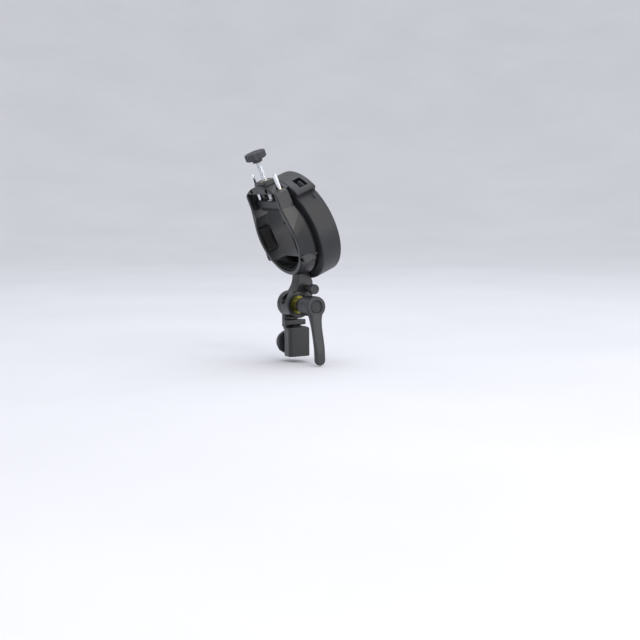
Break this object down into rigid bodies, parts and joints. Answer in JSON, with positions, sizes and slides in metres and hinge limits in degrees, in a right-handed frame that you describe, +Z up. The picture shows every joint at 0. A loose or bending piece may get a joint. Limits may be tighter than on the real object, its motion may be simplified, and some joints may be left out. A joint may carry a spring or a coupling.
{
  "type": "umbrella swivel bracket",
  "caption": "Tilting stand bracket with an umbrella shaft hole, a screw clamp that grips a flash head and a bayonet ring for a light modifier, locked by a ratchet lever.",
  "frame": {"origin": "centre of the flat blind ceiling of the stand socket's bore, where a 16 mm stand spigot ends", "axes": "+Z up along the stand's axis, -Y towards the open face of the bayonet ring, -X towards the tilt lever; the hinge axis runs along X 30 mm above the origin"},
  "size_m": [0.112, 0.0999, 0.2318],
  "materials": {
    "casting": "satin black paint on a casting",
    "moulded": "fine-grained black plastic",
    "knob": "textured dark grey plastic",
    "rubber": "black rubber",
    "chrome": "bright chrome",
    "steel": "plain zinc-plated steel",
    "brass": "turned brass",
    "yellow_zinc": "yellow chromate plating",
    "nylon": "natural nylon"
  },
  "bodies": {
    "stand_base": {"stand_socket": "casting", "pivot_bolt": "steel", "lock_insert": "brass"},
    "lock_pad": {"lock_pad": "nylon"},
    "lock_screw": {"lock_screw": "steel", "lock_knob": "knob", "lock_knob_cap": "moulded"},
    "lever_nut": {"lever_nut": "steel", "lever_screw": "steel", "lever_spring": "steel"},
    "tilt_lever": {"tilt_lever": "moulded", "lever_cap": "moulded"},
    "head": {"neck_arm": "casting", "plated_washer": "yellow_zinc", "umbrella_insert": "brass", "clamp_frame": "casting", "neck_screw_1": "steel", "neck_screw_2": "steel", "housing_screw_1": "steel", "housing_screw_2": "steel", "housing_screw_3": "steel", "housing_screw_4": "steel", "cradle_pad": "rubber", "side_pad_near": "rubber", "side_pad_far": "rubber", "guide_bush_near": "brass", "guide_bush_far": "brass", "clamp_nut": "brass", "ring_housing": "moulded", "bayonet_plate": "steel", "plate_screw_1": "steel", "plate_screw_2": "steel", "plate_screw_3": "steel", "plate_screw_4": "steel", "plate_screw_5": "steel", "plate_screw_6": "steel", "latch_spring_near": "steel", "latch_spring_far": "steel"},
    "umbrella_tip": {"umbrella_tip": "nylon"},
    "umbrella_screw": {"umbrella_screw": "steel", "umbrella_knob": "knob"},
    "clamp_jaw": {"clamp_jaw": "moulded", "jaw_pad": "rubber", "guide_rod_near": "chrome", "guide_rod_far": "chrome", "screw_clip": "steel"},
    "clamp_screw": {"clamp_screw": "chrome", "clamp_knob": "knob", "clamp_knob_cap": "moulded"},
    "latch": {"latch_slider": "knob", "latch_pin": "steel"}
  },
  "joints": [
    {"name": "head_tilt", "type": "hinge", "parent": "stand_base", "child": "head", "pos_m": [0, 0, 0.03], "axis": [1, 0, 0], "range_deg": [-67, 60]},
    {"name": "lever_turn", "type": "hinge", "parent": "stand_base", "child": "lever_nut", "pos_m": [-0.03, 0, 0.03], "axis": [1, 0, 0], "range_deg": [-60, 75]},
    {"name": "lever_pull", "type": "slide", "parent": "lever_nut", "child": "tilt_lever", "axis": [-1, 0, 0], "range_m": [0, 0.0023], "stiffness_N_per_m": 800, "springref_m": -0.002},
    {"name": "jaw_slide", "type": "slide", "parent": "head", "child": "clamp_jaw", "axis": [0, 0.3907, 0.9205], "range_m": [-0.014, 0.009]},
    {"name": "clamp_spin", "type": "hinge", "parent": "clamp_jaw", "child": "clamp_screw", "pos_m": [0, 0.03785, 0.17037], "axis": [0, 0.3907, 0.9205], "range_deg": [-5045, 3245]},
    {"name": "umbrella_tip_slide", "type": "slide", "parent": "head", "child": "umbrella_tip", "axis": [1, 0, 0], "range_m": [-0.0025, 0.0008]},
    {"name": "umbrella_spin", "type": "hinge", "parent": "umbrella_tip", "child": "umbrella_screw", "pos_m": [-0.012, -0.01293, 0.04689], "axis": [1, 0, 0], "range_deg": [-1290, 415]},
    {"name": "lock_pad_slide", "type": "slide", "parent": "stand_base", "child": "lock_pad", "axis": [-1, 0, 0], "range_m": [-0.0006, 0.0012]},
    {"name": "lock_spin", "type": "hinge", "parent": "lock_pad", "child": "lock_screw", "pos_m": [0.015, 0, -0.013], "axis": [-1, 0, 0], "range_deg": [-220, 435]},
    {"name": "latch_slide", "type": "slide", "parent": "head", "child": "latch", "axis": [0, 0.9205, -0.3907], "range_m": [0, 0.003], "stiffness_N_per_m": 400, "springref_m": -0.003}
  ],
  "couplings": [
    {"joint": "clamp_spin", "follows": "jaw_slide", "rad_per_m": 6283.2},
    {"joint": "umbrella_spin", "follows": "umbrella_tip_slide", "rad_per_m": 8976},
    {"joint": "lock_spin", "follows": "lock_pad_slide", "rad_per_m": 6283.2}
  ]
}
